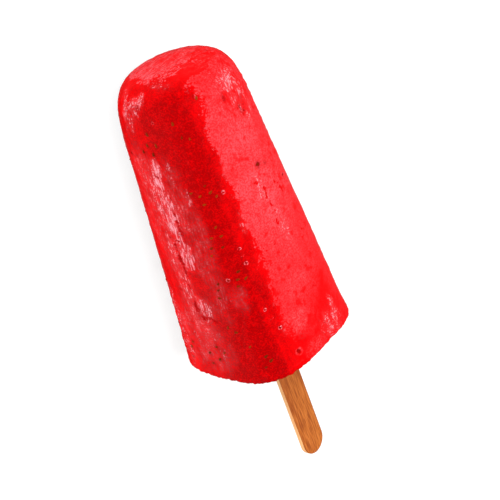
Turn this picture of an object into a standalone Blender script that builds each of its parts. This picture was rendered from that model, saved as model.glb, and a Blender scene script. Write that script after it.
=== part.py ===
"""Strawberry ice pop, lying on its back: a tapered bar of fruit ice with a rounded-square section on a
flat wooden stick.

The bar and the stick are modelled along +Y, tip outwards, in the frame of an empty on the bar's axis.
The empty is then tipped by the bar's draft angle, so that the back face lies level on the floor.
All sizes are in metres.
"""

import math

import bmesh
import bpy
from mathutils import Matrix, Vector

# The bar of ice.
BAR_LENGTH = 0.100
BASE_WIDTH = 0.047  # across flats at the stick's end
TIP_WIDTH = 0.0358  # what the taper comes to at the tip, before the tip closes
BASE_SQUARENESS = 3.1  # superellipse exponent of the section: 2 is round, and more is squarer
TIP_SQUARENESS = 2.2
TIP_CLOSE_LENGTH = 0.018  # the stretch over which the tip closes
TIP_FLATNESS = 4.3  # superellipse exponent of the tip's profile
RIM_RADIUS = 0.0016  # the rounding where the sides meet the base
BASE_CROWN = 0.0008  # how far the base swells at its middle
REST_FLAT_DEPTH = 0.0004  # how much of the back is melted level

# The wooden stick.
STICK_LENGTH = 0.114
STICK_OUT = 0.0478  # how much of it shows
STICK_WIDTH = 0.0097
STICK_THICKNESS = 0.0016
STICK_EDGE = 0.0002  # the bevel along its edges
STICK_OFF_CENTRE = Vector((0.0012, 0.0, 0.0007))
STICK_YAW = math.radians(0.3)
SLOT_GAP = 0.0003  # between the stick and the ice round it

# How finely the round shapes are cut.
AROUND = 72
SIDE_RINGS = 16
TIP_RINGS = 14
RIM_RINGS = 4
CROWN_RINGS = 4
END_STEPS = 14

DRAFT = math.atan((BASE_WIDTH - TIP_WIDTH) / 2 / BAR_LENGTH)
RED_ICE = (0.80, 0.004, 0.010, 1.0)
PALE_WOOD = (0.62, 0.28, 0.10, 1.0)


def clear_scene():
    for obj in list(bpy.data.objects):
        bpy.data.objects.remove(obj)


def material(name, colour, roughness):
    """A Principled material of one colour."""
    made = bpy.data.materials.new(name)
    made.use_nodes = True
    shader = made.node_tree.nodes["Principled BSDF"]
    shader.inputs["Base Color"].default_value = colour
    shader.inputs["Roughness"].default_value = roughness
    shader.inputs["Metallic"].default_value = 0.0
    return made


def new_object(name, bm, finish, parent):
    """An object made from a bmesh, shaded smooth except at its sharp edges."""
    bmesh.ops.recalc_face_normals(bm, faces=bm.faces)
    mesh = bpy.data.meshes.new(name)
    bm.to_mesh(mesh)
    bm.free()
    mesh.shade_smooth()
    mesh.set_sharp_from_angle(angle=math.radians(40))
    if finish is not None:
        mesh.materials.append(finish)
    obj = bpy.data.objects.new(name, mesh)
    bpy.context.scene.collection.objects.link(obj)
    obj.parent = parent
    return obj


def tapered_half_width(y):
    return (BASE_WIDTH + (TIP_WIDTH - BASE_WIDTH) * y / BAR_LENGTH) / 2


def squareness(y):
    return BASE_SQUARENESS + (TIP_SQUARENESS - BASE_SQUARENESS) * y / BAR_LENGTH


def bar_stations():
    """(place along the bar, half width) of each ring, from the middle of the base to the tip."""
    stations = []
    rim_width = tapered_half_width(0) - RIM_RADIUS
    for i in range(1, CROWN_RINGS):
        share = i / CROWN_RINGS
        stations.append((-BASE_CROWN * (1 - share * share), rim_width * share))
    for i in range(RIM_RINGS):
        turn = math.pi / 2 * i / RIM_RINGS
        y = RIM_RADIUS * (1 - math.cos(turn))
        stations.append((y, tapered_half_width(y) - RIM_RADIUS * (1 - math.sin(turn))))
    side_end = BAR_LENGTH - TIP_CLOSE_LENGTH
    for i in range(SIDE_RINGS):
        y = RIM_RADIUS + (side_end - RIM_RADIUS) * i / SIDE_RINGS
        stations.append((y, tapered_half_width(y)))
    for i in range(TIP_RINGS):
        turn = math.pi / 2 * i / TIP_RINGS
        y = side_end + TIP_CLOSE_LENGTH * math.sin(turn) ** (2 / TIP_FLATNESS)
        stations.append((y, tapered_half_width(y) * math.cos(turn) ** (2 / TIP_FLATNESS)))
    return stations


def ring(bm, y, half_width):
    """A closed loop of edges round the bar's axis: a superellipse, by its radius at each angle."""
    power = squareness(max(y, 0.0))
    corners = []
    for i in range(AROUND):
        angle = 2 * math.pi * i / AROUND
        across, up = math.cos(angle), math.sin(angle)
        radius = half_width / (abs(across) ** power + abs(up) ** power) ** (1 / power)
        corners.append(bm.verts.new((radius * across, y, radius * up)))
    return [bm.edges.new((corners[i - 1], corners[i])) for i in range(AROUND)]


def close_to_point(bm, loop, y):
    """A fan of triangles from a loop of edges to a point on the axis."""
    peak = bm.verts.new((0, y, 0))
    for edge in loop:
        bm.faces.new((edge.verts[0], edge.verts[1], peak))


def build_bar(finish, parent):
    """The bar of ice: rings joined one to the next, and closed at both ends."""
    bm = bmesh.new()
    loops = [ring(bm, y, half_width) for y, half_width in bar_stations()]
    for lower, upper in zip(loops, loops[1:]):
        bmesh.ops.bridge_loops(bm, edges=lower + upper)
    close_to_point(bm, loops[0], -BASE_CROWN)
    close_to_point(bm, loops[-1], BAR_LENGTH)
    return new_object("ice_bar", bm, finish, parent)


def plank_outline(width, front, back):
    """The outline of a flat stick in XY, a half circle at both ends, from y = front to y = back."""
    radius = width / 2
    points = []
    for centre, side in ((back - radius, 1), (front + radius, -1)):
        for i in range(END_STEPS + 1):
            angle = math.pi * i / END_STEPS
            points.append((side * radius * math.cos(angle), centre + side * radius * math.sin(angle)))
    return points


def extruded(outline, thickness):
    """A bmesh of the outline in XY, raised to the thickness about z = 0."""
    bm = bmesh.new()
    face = bm.faces.new([bm.verts.new((x, y, -thickness / 2)) for x, y in outline])
    raised = bmesh.ops.extrude_face_region(bm, geom=[face])["geom"]
    corners = [item for item in raised if isinstance(item, bmesh.types.BMVert)]
    bmesh.ops.translate(bm, verts=corners, vec=(0, 0, thickness))
    return bm


def put_in_bar(obj):
    """Places the stick, or its slot, a little off the bar's axis and a little askew."""
    obj.location = STICK_OFF_CENTRE
    obj.rotation_euler = (0, 0, STICK_YAW)


def build_stick(finish, parent):
    outline = plank_outline(STICK_WIDTH, -STICK_OUT, STICK_LENGTH - STICK_OUT)
    stick = new_object("stick", extruded(outline, STICK_THICKNESS), finish, parent)
    put_in_bar(stick)
    bevel = stick.modifiers.new("worn_edges", "BEVEL")
    bevel.width = STICK_EDGE
    bevel.segments = 2
    bevel.limit_method = "ANGLE"
    bevel.angle_limit = math.radians(40)
    return stick


def build_slot_cutter(parent):
    """The space round the buried stick, which runs out past the base."""
    outline = plank_outline(STICK_WIDTH + 2 * SLOT_GAP, -STICK_OUT, STICK_LENGTH - STICK_OUT + SLOT_GAP)
    cutter = new_object("slot_cutter", extruded(outline, STICK_THICKNESS + 2 * SLOT_GAP), None, parent)
    put_in_bar(cutter)
    return cutter


def build_floor_cutter():
    """All that is under the floor, where the back of the bar is melted level."""
    bm = bmesh.new()
    bmesh.ops.create_cube(bm, size=4 * BAR_LENGTH)
    bmesh.ops.translate(bm, verts=bm.verts, vec=(0, 0, -2 * BAR_LENGTH))
    return new_object("floor_cutter", bm, None, None)


def cut(target, cutter):
    cutter.hide_render = True
    cutter.display_type = "WIRE"
    boolean = target.modifiers.new("cut_by_" + cutter.name, "BOOLEAN")
    boolean.operation = "DIFFERENCE"
    boolean.object = cutter


def lay_down(axis):
    """Tips the axis by the draft, so that the back's lowest line is level and just under the floor.

    The bar and stick together reach as far along +Y from the origin as along -Y.
    """
    tip_down = Matrix.Rotation(-DRAFT, 3, "X")
    back = tip_down @ Vector((0, 0, -BASE_WIDTH / 2))
    highest_y = max((tip_down @ Vector((0, y, half_width))).y for y, half_width in bar_stations())
    stick_end = STICK_OFF_CENTRE + Vector((0, -STICK_OUT, -STICK_THICKNESS / 2))
    lowest_y = (tip_down @ stick_end).y
    axis.rotation_euler = (-DRAFT, 0, 0)
    axis.location = (0, -(highest_y + lowest_y) / 2, -back.z - REST_FLAT_DEPTH)


def main():
    clear_scene()
    ice = material("strawberry_ice", RED_ICE, 0.35)
    wood = material("birch_wood", PALE_WOOD, 0.6)
    axis = bpy.data.objects.new("bar_axis", None)
    bpy.context.scene.collection.objects.link(axis)
    lay_down(axis)
    bar = build_bar(ice, axis)
    build_stick(wood, axis)
    cut(bar, build_slot_cutter(axis))
    cut(bar, build_floor_cutter())


main()
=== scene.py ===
"""The looks of a strawberry ice pop that lies on its back: a bar of frosted fruit ice full of seeds, on a flat
wooden stick, with a pale floor, soft studio light and a camera.

Every shape is worked out in the bar's own frame, in millimetres. Y runs along the bar from the middle of its
base to its tip, Z points out of the broad face that lies uppermost, and X points to the right. An angle round
the bar starts at +X and turns towards +Z, so that the top face is at 90 degrees and the left face at 180.
"""

import math

import bpy
import numpy as np
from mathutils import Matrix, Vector


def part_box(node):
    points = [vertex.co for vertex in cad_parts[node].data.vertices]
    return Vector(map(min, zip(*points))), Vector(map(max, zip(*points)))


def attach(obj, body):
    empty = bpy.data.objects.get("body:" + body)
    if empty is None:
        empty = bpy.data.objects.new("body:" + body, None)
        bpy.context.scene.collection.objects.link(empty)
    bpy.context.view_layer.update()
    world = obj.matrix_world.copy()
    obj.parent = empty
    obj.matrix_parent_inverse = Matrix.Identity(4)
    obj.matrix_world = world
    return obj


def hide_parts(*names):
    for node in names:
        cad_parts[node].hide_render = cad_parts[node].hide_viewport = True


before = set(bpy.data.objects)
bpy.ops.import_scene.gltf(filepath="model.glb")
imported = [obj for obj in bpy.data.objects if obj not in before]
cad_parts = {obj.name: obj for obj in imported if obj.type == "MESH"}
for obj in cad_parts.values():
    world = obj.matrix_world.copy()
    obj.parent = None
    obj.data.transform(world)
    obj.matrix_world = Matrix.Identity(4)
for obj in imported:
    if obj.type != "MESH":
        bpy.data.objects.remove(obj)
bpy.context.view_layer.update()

MM = 0.001  # metres in a millimetre

# The bar of ice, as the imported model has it.
BAR_LENGTH = 100.0
BASE_WIDTH = 47.0
TIP_WIDTH = 35.8
BASE_SQUARENESS = 3.1
TIP_SQUARENESS = 2.2
TIP_CLOSE_LENGTH = 18.0
TIP_FLATNESS = 4.3
RIM_RADIUS = 1.6
BASE_CROWN = 0.8
REST_FLAT_DEPTH = 0.4
DRAFT = math.atan((BASE_WIDTH - TIP_WIDTH) / 2 / BAR_LENGTH)

# The wooden stick.
STICK_LENGTH = 114.0
STICK_OUT = 47.8
STICK_WIDTH = 9.7
STICK_THICKNESS = 1.6
STICK_EDGE = 0.2
STICK_OFF_CENTRE = (1.2, 0.7)
STICK_YAW = math.radians(0.3)
HOLE_DEPTH = 3.0  # how deep the skin of the ice follows the stick in
COLLAR_HEIGHT = 1.0  # how far the ice climbs the stick
COLLAR_REACH = 1.3

# How finely the ice is cut.
AROUND = 300
SHOWN_ANGLE = math.radians(135)  # the middle of the side that is cut most finely
SHOWN_BIAS = 0.5
BASE_RINGS = 26
RIM_RINGS = 7
SIDE_STEP = 0.36
TIP_RINGS = 58

SEED = 11


# ---------------------------------------------------------------- noise and ramps


def cell_values(cells, seed):
    """A repeatable value from -1 to 1 for each whole-number cell: its three numbers are multiplied by large odd
    numbers and added, and the sum is mixed by shifting and multiplying."""
    mixed = (cells * np.array([73856093, 19349663, 83492791], np.int64)).sum(-1) + seed * 1640531527
    mixed = (mixed ^ (mixed >> 13)) * 1274126177
    mixed = (mixed ^ (mixed >> 16)) & 0xFFFFF
    return mixed / 0x7FFFF - 1


def noise(points, size, seed):
    """Smooth noise from -1 to 1: the values at the eight corners of each cell of that size, blended by
    3t^2 - 2t^3 along each axis."""
    scaled = points / np.asarray(size, float) + 1000.37
    cells = np.floor(scaled).astype(np.int64)
    share = scaled - cells
    share = share * share * (3 - 2 * share)
    total = np.zeros(points.shape[:-1])
    for corner in np.ndindex(2, 2, 2):
        weight = np.where(np.array(corner) == 1, share, 1 - share).prod(-1)
        total += weight * cell_values(cells + np.array(corner), seed)
    return total


def layered(points, size, seed, layers=3):
    """Noise added up in layers, each half the size and half the strength of the one before."""
    total = np.zeros(points.shape[:-1])
    for layer in range(layers):
        total += noise(points, np.asarray(size, float) / 2**layer, seed + layer) / 2**layer
    return total / (2 - 2 ** (1 - layers))


def ramp(value, low, high):
    """0 below low, 1 above high, and 3t^2 - 2t^3 between. With low above high it falls instead."""
    share = np.clip((value - low) / (high - low), 0, 1)
    return share * share * (3 - 2 * share)


def turned(angle):
    """An angle brought between -pi and pi."""
    return (angle + math.pi) % (2 * math.pi) - math.pi


# ---------------------------------------------------------------- meshes


def to_row(points):
    """From the bar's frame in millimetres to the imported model's in metres: a turn by the draft about X, which
    lays the bar's back level, and then a move to where the bar's tip and back touch its box."""
    cos, sin = math.cos(DRAFT), math.sin(DRAFT)
    _, half_widths, heights = side_and_tip_rings()
    highest = (heights * cos + half_widths * sin).max()
    shift_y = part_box("ice_bar")[1].y / MM - highest
    shift_z = BASE_WIDTH / 2 * cos - REST_FLAT_DEPTH
    x, y, z = np.moveaxis(points, -1, 0)
    return np.stack([x, y * cos + z * sin + shift_y, z * cos - y * sin + shift_z], -1) * MM


def new_piece(name, points, faces, material, attributes=None, replaces=()):
    """An object made from corners and faces, shaded smooth, that rides with the frame."""
    mesh = bpy.data.meshes.new(name)
    mesh.from_pydata(points.tolist(), [], faces.tolist() if hasattr(faces, "tolist") else faces)
    mesh.update()
    for key, values in (attributes or {}).items():
        made = mesh.attributes.new(key, "FLOAT", "POINT")
        made.data.foreach_set("value", np.asarray(values, np.float32).ravel())
    mesh.shade_smooth()
    mesh.materials.append(material)
    piece = bpy.data.objects.new(name, mesh)
    bpy.context.scene.collection.objects.link(piece)
    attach(piece, "root")
    if replaces:
        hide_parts(*replaces)
    return piece


def closed_grid_faces(rings, columns):
    """Faces of a tube of rings, each ring closed on itself, with a fan to a single corner at both ends. The two
    end corners come after the rings' own."""
    ring = np.arange(rings - 1)[:, None] * columns
    here = np.arange(columns)[None, :]
    after = (here + 1) % columns
    quads = np.stack([ring + here, ring + columns + here, ring + columns + after, ring + after], -1)
    here, after = here[0], after[0]
    first, last = rings * columns, rings * columns + 1
    top = (rings - 1) * columns
    start_fan = np.stack([np.full(columns, first), here, after], -1)
    end_fan = np.stack([top + here, np.full(columns, last), top + after], -1)
    return quads.reshape(-1, 4).tolist() + start_fan.tolist() + end_fan.tolist()


# ---------------------------------------------------------------- the ice's smooth form


def tapered_half_width(y):
    return (BASE_WIDTH + (TIP_WIDTH - BASE_WIDTH) * y / BAR_LENGTH) / 2


def squareness(y):
    return BASE_SQUARENESS + (TIP_SQUARENESS - BASE_SQUARENESS) * np.clip(y, 0, BAR_LENGTH) / BAR_LENGTH


def superellipse_radius(angle, power):
    """Distance from the middle of |x|^power + |y|^power = 1 in the direction of the angle."""
    return (np.abs(np.cos(angle)) ** power + np.abs(np.sin(angle)) ** power) ** (-1 / power)


def side_and_tip_rings():
    """(stretch, half width, place along the bar) of each ring from the rim to the tip. The rim is a quarter
    circle, the side is straight, and the tip's profile is a quarter of a superellipse."""
    turn = np.linspace(0, math.pi / 2, RIM_RINGS, endpoint=False)
    rim_y = RIM_RADIUS * (1 - np.cos(turn))
    rim_half = tapered_half_width(rim_y) - RIM_RADIUS * (1 - np.sin(turn))
    side_end = BAR_LENGTH - TIP_CLOSE_LENGTH
    side_y = np.arange(RIM_RADIUS, side_end, SIDE_STEP)
    side_half = tapered_half_width(side_y)
    turn = np.linspace(0, math.pi / 2, TIP_RINGS, endpoint=False)
    reach = superellipse_radius(turn, TIP_FLATNESS)
    tip_y = side_end + TIP_CLOSE_LENGTH * reach * np.sin(turn)
    tip_half = tapered_half_width(tip_y) * reach * np.cos(turn)
    stretch = np.repeat([0, 1, 2], [len(rim_y), len(side_y), len(tip_y)])
    half_widths = np.concatenate([rim_half, side_half, tip_half])
    return stretch, half_widths, np.concatenate([rim_y, side_y, tip_y])


def column_angles():
    """The angle of each column: even steps, drawn together round the shown side."""
    even = np.linspace(0, 2 * math.pi, AROUND, endpoint=False)
    return SHOWN_ANGLE + even - SHOWN_BIAS * np.sin(even)


def stick_section_radius(angle):
    """Distance from the middle of the stick's section to its outline: a superellipse so square that it is
    nearly the rectangle."""
    power = 10
    across = np.abs(np.cos(angle)) / (STICK_WIDTH / 2)
    up = np.abs(np.sin(angle)) / (STICK_THICKNESS / 2)
    return (across**power + up**power) ** (-1 / power)


def base_ring_shares():
    """How far out on the base each of its rings lies, from 0 at the stick to nearly 1 at the rim."""
    return np.linspace(0, 1, BASE_RINGS, endpoint=False) ** 1.5


def smooth_ice(angles):
    """The undisturbed skin of the ice as rings of points, and how freely each ring may be roughened. From the
    middle it runs in along the stick's hole, up a collar round the stick, out over the swollen base, round the
    rim, along the sides and over the tip."""
    stick_radius = stick_section_radius(angles)
    stick_centre = np.array([STICK_OFF_CENTRE[0], 0.0, STICK_OFF_CENTRE[1]])
    direction = np.stack([np.cos(angles), np.zeros_like(angles), np.sin(angles)], -1)
    along = np.array([0.0, 1.0, 0.0])
    rim_width = tapered_half_width(0) - RIM_RADIUS

    hole_size = np.array([0.5, 1.0, 1.0, 1.0])[:, None, None]
    hole_depth = np.array([1.0, 1.0, 0.6, 0.2])[:, None, None] * HOLE_DEPTH
    hole = stick_centre + direction * stick_radius[:, None] * hole_size + along * hole_depth

    share = base_ring_shares()[:, None]
    rim_radius = rim_width * superellipse_radius(angles, BASE_SQUARENESS)
    radius = stick_radius * (1 - share) + rim_radius * share
    collar = COLLAR_HEIGHT * np.exp(-share * rim_width / COLLAR_REACH)
    height = -BASE_CROWN * (1 - share**2) - collar
    base = stick_centre * (1 - share)[..., None] + direction * radius[..., None] + along * height[..., None]

    _, half_widths, heights = side_and_tip_rings()
    power = squareness(heights)[:, None]
    radius = half_widths[:, None] * superellipse_radius(angles, power)
    side = direction * radius[..., None] + along * heights[:, None, None]

    freedom = np.concatenate([np.zeros(len(hole)), ramp(share[:, 0], 0.05, 0.4), np.ones(len(side))])
    return np.concatenate([hole, base, side]), freedom[:, None]


def outward_normals(points):
    """Unit normals of rings of points: the cross product of the steps along and round, by central difference."""
    round_step = np.roll(points, -1, 1) - np.roll(points, 1, 1)
    along_step = np.gradient(points, axis=0)
    normals = np.cross(along_step, round_step)
    return normals / (np.linalg.norm(normals, axis=-1, keepdims=True) + 1e-12)


class Skin:
    """The smooth skin with the coordinates that its relief and its colours are worked out from: up, the distance
    along the profile from the rim, and angle, both per point; and radius, the distance from the bar's axis."""

    def __init__(self):
        self.angles = column_angles()
        self.points, self.freedom = smooth_ice(self.angles)
        self.normals = outward_normals(self.points)
        stretch, half_widths, heights = side_and_tip_rings()
        steps = np.hypot(np.diff(half_widths), np.diff(heights))
        lengths = np.concatenate([[0], np.cumsum(steps)])
        self.heights, self.lengths = heights, lengths
        inner = len(self.points) - len(heights)
        middle = self.points[:inner]
        inward = np.hypot(middle[..., 0], middle[..., 2]) - BASE_WIDTH / 2
        outer = np.broadcast_to(lengths[:, None], (len(heights), AROUND))
        self.up = np.concatenate([inward, outer])
        self.angle = np.broadcast_to(self.angles, self.up.shape)
        self.radius = np.hypot(self.points[..., 0], self.points[..., 2])
        shares = np.concatenate([np.zeros(inner - BASE_RINGS), base_ring_shares(), np.ones(len(heights))])
        self.base_share = np.broadcast_to(shares[:, None], self.up.shape)
        self.wiggle_up = 0.28 * layered(self.points, 1.3, 11, 2)
        self.wiggle_round = 0.28 * layered(self.points, 1.3, 14, 2)

    def up_at(self, y):
        """The distance along the profile at a place along the bar."""
        return np.interp(y, self.heights, self.lengths)

    def away(self, y, degrees):
        """How far up, and how far round, each point lies from a place on the skin, in millimetres. A fine noise
        is added to both, so that no mark has a clean outline."""
        around = turned(self.angle - math.radians(degrees)) * self.radius
        return self.up - self.up_at(y) + self.wiggle_up, around + self.wiggle_round


# ---------------------------------------------------------------- relief and colour of the ice


# Where the bar is a little fuller or leaner than its plain form: place along the bar, angle, half length, half
# width and height.
SWELLS = (
    (82, 212, 9, 8, 0.48),
    (22, 212, 13, 8, -0.36),
    (9, 212, 8, 8, -0.25),
    (22, 48, 26, 8, 0.26),
    (1, 48, 4, 8, 0.45),
    (86, 48, 4, 8, 0.20),
    (0.5, 150, 2.5, 11, 0.42),
    (0.5, 122, 2.5, 6, 0.24),
    (96, 232, 4, 6, -0.14),
    (98, 290, 6, 7, -0.42),
    (98, 322, 6, 6, -0.42),
)

# Air bubbles that broke at the skin: place along the bar, angle, radius, depth, which also sets the painted shade
# in the middle, and how pale the rim and its painted glint are.
PITS = (
    (5.5, 113, 1.05, 0.50, 0.10),
    (16.2, 120, 0.50, 0.70, 0.70),
    (24, 126, 0.45, 0.35, 0.45),
    (37, 144, 0.55, 0.45, 0.35),
    (40.6, 126.8, 0.48, 0.45, 0.60),
    (45.8, 128, 0.45, 0.45, 0.65),
    (64.6, 124, 0.50, 0.30, 0.45),
    (90.6, 163.8, 0.45, 0.30, 0.20),
    (14, 192, 0.45, 0.25, 0.25),
    (16.5, 195, 0.45, 0.25, 0.30),
    (62, 20, 0.60, 0.40, 0.40),
    (31, -12, 0.70, 0.50, 0.40),
    (77, -30, 0.50, 0.40, 0.30),
)

# Hollows, painted darker as shade: place along the bar, angle, half length, half width and depth.
DENTS = (
    (65.2, 82.4, 1.9, 1.9, 0.24),
    (65.3, 82.3, 1.0, 1.1, 0.44),
    (63.6, 83.5, 0.9, 0.8, 0.14),
    (64.4, 73.6, 1.3, 1.1, 0.24),
    (55.6, 56, 0.4, 0.9, 0.55),
    (90.6, 91.0, 2.2, 1.5, 0.20),
    (89.6, 90.0, 1.2, 0.9, 0.32),
    (95.6, 124, 2.0, 1.6, 0.10),
    (84.2, 76.0, 0.7, 0.42, 0.36),
    (83.2, 75.0, 0.7, 0.42, 0.34),
    (82.2, 72.5, 0.7, 0.5, 0.36),
    (84.5, 76.5, 3.4, 2.0, 0.14),
    (86.5, 70.0, 4.0, 0.8, 0.16),
    (79, 207, 0.5, 1.6, 0.35),
    (32, 197, 0.5, 1.2, 0.25),
    (70, 8, 0.9, 0.7, 0.4),
    (44, -20, 0.6, 1.0, 0.4),
)

# Cracks and red nicks, whose grooves are painted darker as shade: place and angle of the start and of the end, half
# width and depth.
CRACKS = (
    (59.6, 88.3, 58.4, 86.7, 0.32, 0.25),
    (58.4, 86.7, 55.5, 85.5, 0.28, 0.25),
    (57.5, 84.5, 54.6, 86.7, 0.20, 0.20),
    (54.6, 86.7, 50, 85.0, 0.28, 0.25),
    (57.4, 71.5, 55.2, 68.6, 0.30, 0.30),
    (55.2, 68.6, 52.4, 67.2, 0.30, 0.30),
    (46.2, 86.8, 45.2, 85.8, 0.36, 0.15),
    (41.3, 99, 41.2, 97, 0.22, 0.10),
    (37.8, 64.5, 37.4, 61.5, 0.30, 0.15),
    (33.8, 95.5, 33.3, 94.5, 0.38, 0.15),
    (19.6, 76, 19.2, 74, 0.42, 0.15),
    (72, 99, 71.8, 97, 0.22, 0.10),
    (84.6, 79.5, 82.6, 77.5, 0.26, 0.20),
    (83.4, 77.4, 81.2, 76.0, 0.26, 0.20),
    (85.4, 73, 80, 67, 0.20, 0.15),
    (61.8, 93.5, 61.0, 92.0, 0.30, 0.15),
    (51, 187, 50.5, 178, 0.34, 0.35),
    (50, 184, 45, 183, 0.30, 0.40),
    (45, 183, 41, 183, 0.44, 0.45),
    (41, 183, 37, 181.5, 0.26, 0.25),
    (36, 186, 34, 183, 0.24, 0.20),
    (28, 184, 25, 182, 0.46, 0.35),
    (25, 182, 22.5, 178, 0.42, 0.40),
    (23.5, 175, 21.8, 166, 0.40, 0.35),
    (60, 172.5, 57, 172, 0.36, 0.35),
    (56, 173.5, 53, 172, 0.30, 0.30),
    (73, 181.5, 72.8, 178.5, 0.30, 0.25),
    (78, 171.5, 76, 172, 0.24, 0.20),
    (60, 182, 58, 180.5, 0.26, 0.20),
    (55, 187, 53, 186, 0.22, 0.20),
    (68, 170.5, 65, 171, 0.24, 0.20),
    (95.2, 181, 94.7, 176, 0.40, 0.30),
    (60, 5, 40, -2, 0.40, 0.40),
    (35, -25, 22, -20, 0.40, 0.40),
    (85, -15, 72, -8, 0.35, 0.35),
)

# Crusts of rime, partly painted glints, such as the pale streak down the left face: place along the bar, angle,
# half length, half width and strength.
RIME_AND_GLINT_PATCHES = (
    (75.5, 175.5, 3.5, 1.7, 0.60),
    (71, 178.5, 4.0, 2.2, 0.58),
    (64, 179.5, 6.0, 2.8, 0.52),
    (57, 178.0, 6.0, 2.6, 0.50),
    (54, 178.5, 3.0, 1.8, 0.52),
    (44.6, 175.0, 5.4, 3.0, 0.48),
    (47, 170, 3.0, 1.7, 0.44),
    (51, 177.5, 2.6, 2.0, 0.38),
    (30, 156, 6, 5, 0.05),
    (37, 184, 6.0, 1.3, 0.16),
    (26, 173.5, 4.0, 2.8, 0.38),
    (30, 188, 8.0, 2.0, 0.12),
    (65.5, 153, 2.6, 0.9, 0.28),
    (76.5, 162, 2.0, 1.2, 0.12),
    (67, 187, 9.0, 2.4, 0.26),
    (47, 190, 6.0, 2.0, 0.27),
    (93.5, 199, 4.5, 1.5, 0.46),
    (91, 193, 4.5, 1.6, 0.22),
    (95.5, 188, 3.0, 2.6, 0.30),
    (96.6, 179, 2.6, 2.2, 0.30),
    (93, 184, 3.0, 2.2, 0.10),
    (86.5, 200, 3.0, 1.0, 0.08),
    (97.5, 206, 3.0, 1.6, 0.10),
    (99.2, 156, 1.0, 2.8, 0.22),
    (98.8, 146, 1.6, 3.0, 0.05),
    (99.4, 108, 3.0, 4.0, 0.03),
    (98.4, 84, 4.0, 5.0, 0.04),
    (94.5, 76, 2.6, 5.0, 0.20),
    (92.8, 77, 2.8, 2.0, 0.40),
    (92.0, 83, 2.4, 1.4, 0.22),
    (90.0, 70, 4.0, 1.4, 0.30),
    (88.0, 80, 2.4, 1.6, 0.20),
    (86, 64, 7.0, 1.2, 0.17),
    (83.2, 76, 2.4, 1.5, 0.26),
    (80, 70, 3.0, 1.0, 0.20),
    (59.0, 89.5, 4.4, 2.2, 0.27),
    (56.0, 87, 2.4, 1.0, 0.30),
    (54, 118.0, 4.5, 1.4, 0.10),
    (44, 82, 6.0, 2.2, 0.15),
    (5.2, 74, 4.6, 6.0, 0.25),
    (26, 168, 16, 7, 0.03),
    (13, 178, 8, 9, 0.07),
    (6.4, 79, 3.6, 1.4, 0.32),
    (9.6, 66.5, 4.0, 1.3, 0.34),
    (3.4, 80, 2.6, 1.6, 0.30),
    (22, 214, 9.0, 2.0, 0.24),
    (11, 211, 8.0, 2.4, 0.22),
    (60, -18, 14, 3.5, 0.40),
    (25, 12, 9, 3.0, 0.30),
    (80, -5, 8, 3.0, 0.30),
)

# Thin pale patches of mist, partly a painted sheen standing in for soft reflections, mostly on the left face: place
# along the bar, angle, half length, half width and strength.
HAZE_AND_SHEEN_PATCHES = (
    (60, 193, 26, 6.0, 0.18),
    (30, 190, 18, 6, 0.19),
    (21, 201, 11, 7, 0.17),
    (63, 165, 14, 4.0, 0.13),
    (45, 160, 24, 5.0, 0.09),
    (22, 178, 12, 7, 0.12),
    (20.5, 184.5, 3.8, 3.2, 0.38),
    (12, 184, 9, 10, 0.13),
    (8, 207, 7, 3, 0.14),
    (40, -10, 40, 9, 0.20),
    (30, 141, 5, 3, 0.11),
    (15, 105, 3.4, 5.5, 0.15),
    (3, 95, 2.6, 5, 0.15),
)

# The left edge of the top face's pale veil, partly a thin layer on the ice and partly a painted sheen: place along
# the bar, angle and softness in millimetres.
SHEEN_EDGE_LINE = (
    (0, 98, 2.0),
    (6, 104, 2.0),
    (12, 112, 1.5),
    (16, 116, 1.0),
    (30, 114.5, 1.5),
    (40, 112.0, 1.5),
    (46, 114.6, 0.8),
    (50, 116.6, 0.35),
    (57, 117.6, 0.35),
    (59.3, 115.4, 0.35),
    (60.3, 115.5, 0.8),
    (64.0, 115.5, 1.2),
    (66, 118.6, 0.5),
    (75, 116.2, 0.35),
    (80, 119.8, 0.4),
    (85, 118.5, 0.6),
    (89, 113.2, 1.2),
    (92, 111.4, 1.5),
    (100, 118, 2.0),
)

# Saturated patches: place along the bar, angle, half length, half width and strength.
RICH = (
    (15, 68, 5, 4.0, 0.85),
    (10.5, 91, 2.4, 1.8, 0.60),
    (6, 107, 5, 6, 0.50),
    (12, 75, 4, 3.0, 0.85),
    (88.0, 67, 6, 4.5, 0.68),
    (84.4, 71, 5, 4.2, 0.70),
    (84, 185, 4, 4, 0.5),
    (21, 161, 6, 4.5, 0.92),
    (10.5, 171, 4, 4, 0.5),
    (53, 197, 5, 3, 0.6),
    (9, 72, 8.5, 6.6, 0.85),
    (5, 71, 5, 3.0, 0.60),
    (87, 84, 5, 4.0, 0.45),
    (34, 204, 14, 3.5, 0.8),
    (66, 216, 20, 4, 0.6),
    (86, 208, 6, 6, 0.9),
    (34, 168, 5, 4, 0.75),
    (18, 66, 4, 3.0, 0.45),
)

# The pale veil on the flat end, partly a painted sheen: it reaches this far to the left and up, and thins out to
# the right.
END_RADIUS = 13.5
END_SHEEN_LEFT = -9.0
END_SHEEN_TOP = 5.2


def spot(skin, y, degrees, length, width):
    """1 in the middle of a place and falling off as exp(-(up/length)^2 - (round/width)^2)."""
    up, around = skin.away(y, degrees)
    return np.exp(-((up / length) ** 2) - (around / width) ** 2)


def ragged_patch(skin, y, degrees, length, width, wander):
    """1 inside an ellipse and 0 outside, where wander, a noise, pushes the edge in and out."""
    up, around = skin.away(y, degrees)
    return ramp(np.hypot(up / length, around / width) + 0.45 * wander, 1.35, 0.35)


def pit_relief(skin, y, degrees, radius, depth, _):
    """A round hollow with a raised rim: -depth at the middle, and a quarter of that up at the radius."""
    up, around = skin.away(y, degrees)
    reach = np.hypot(up, around) / radius
    return depth * (0.28 * np.exp(-(((reach - 1.0) / 0.3) ** 2)) - np.exp(-((reach / 0.62) ** 2)))


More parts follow.
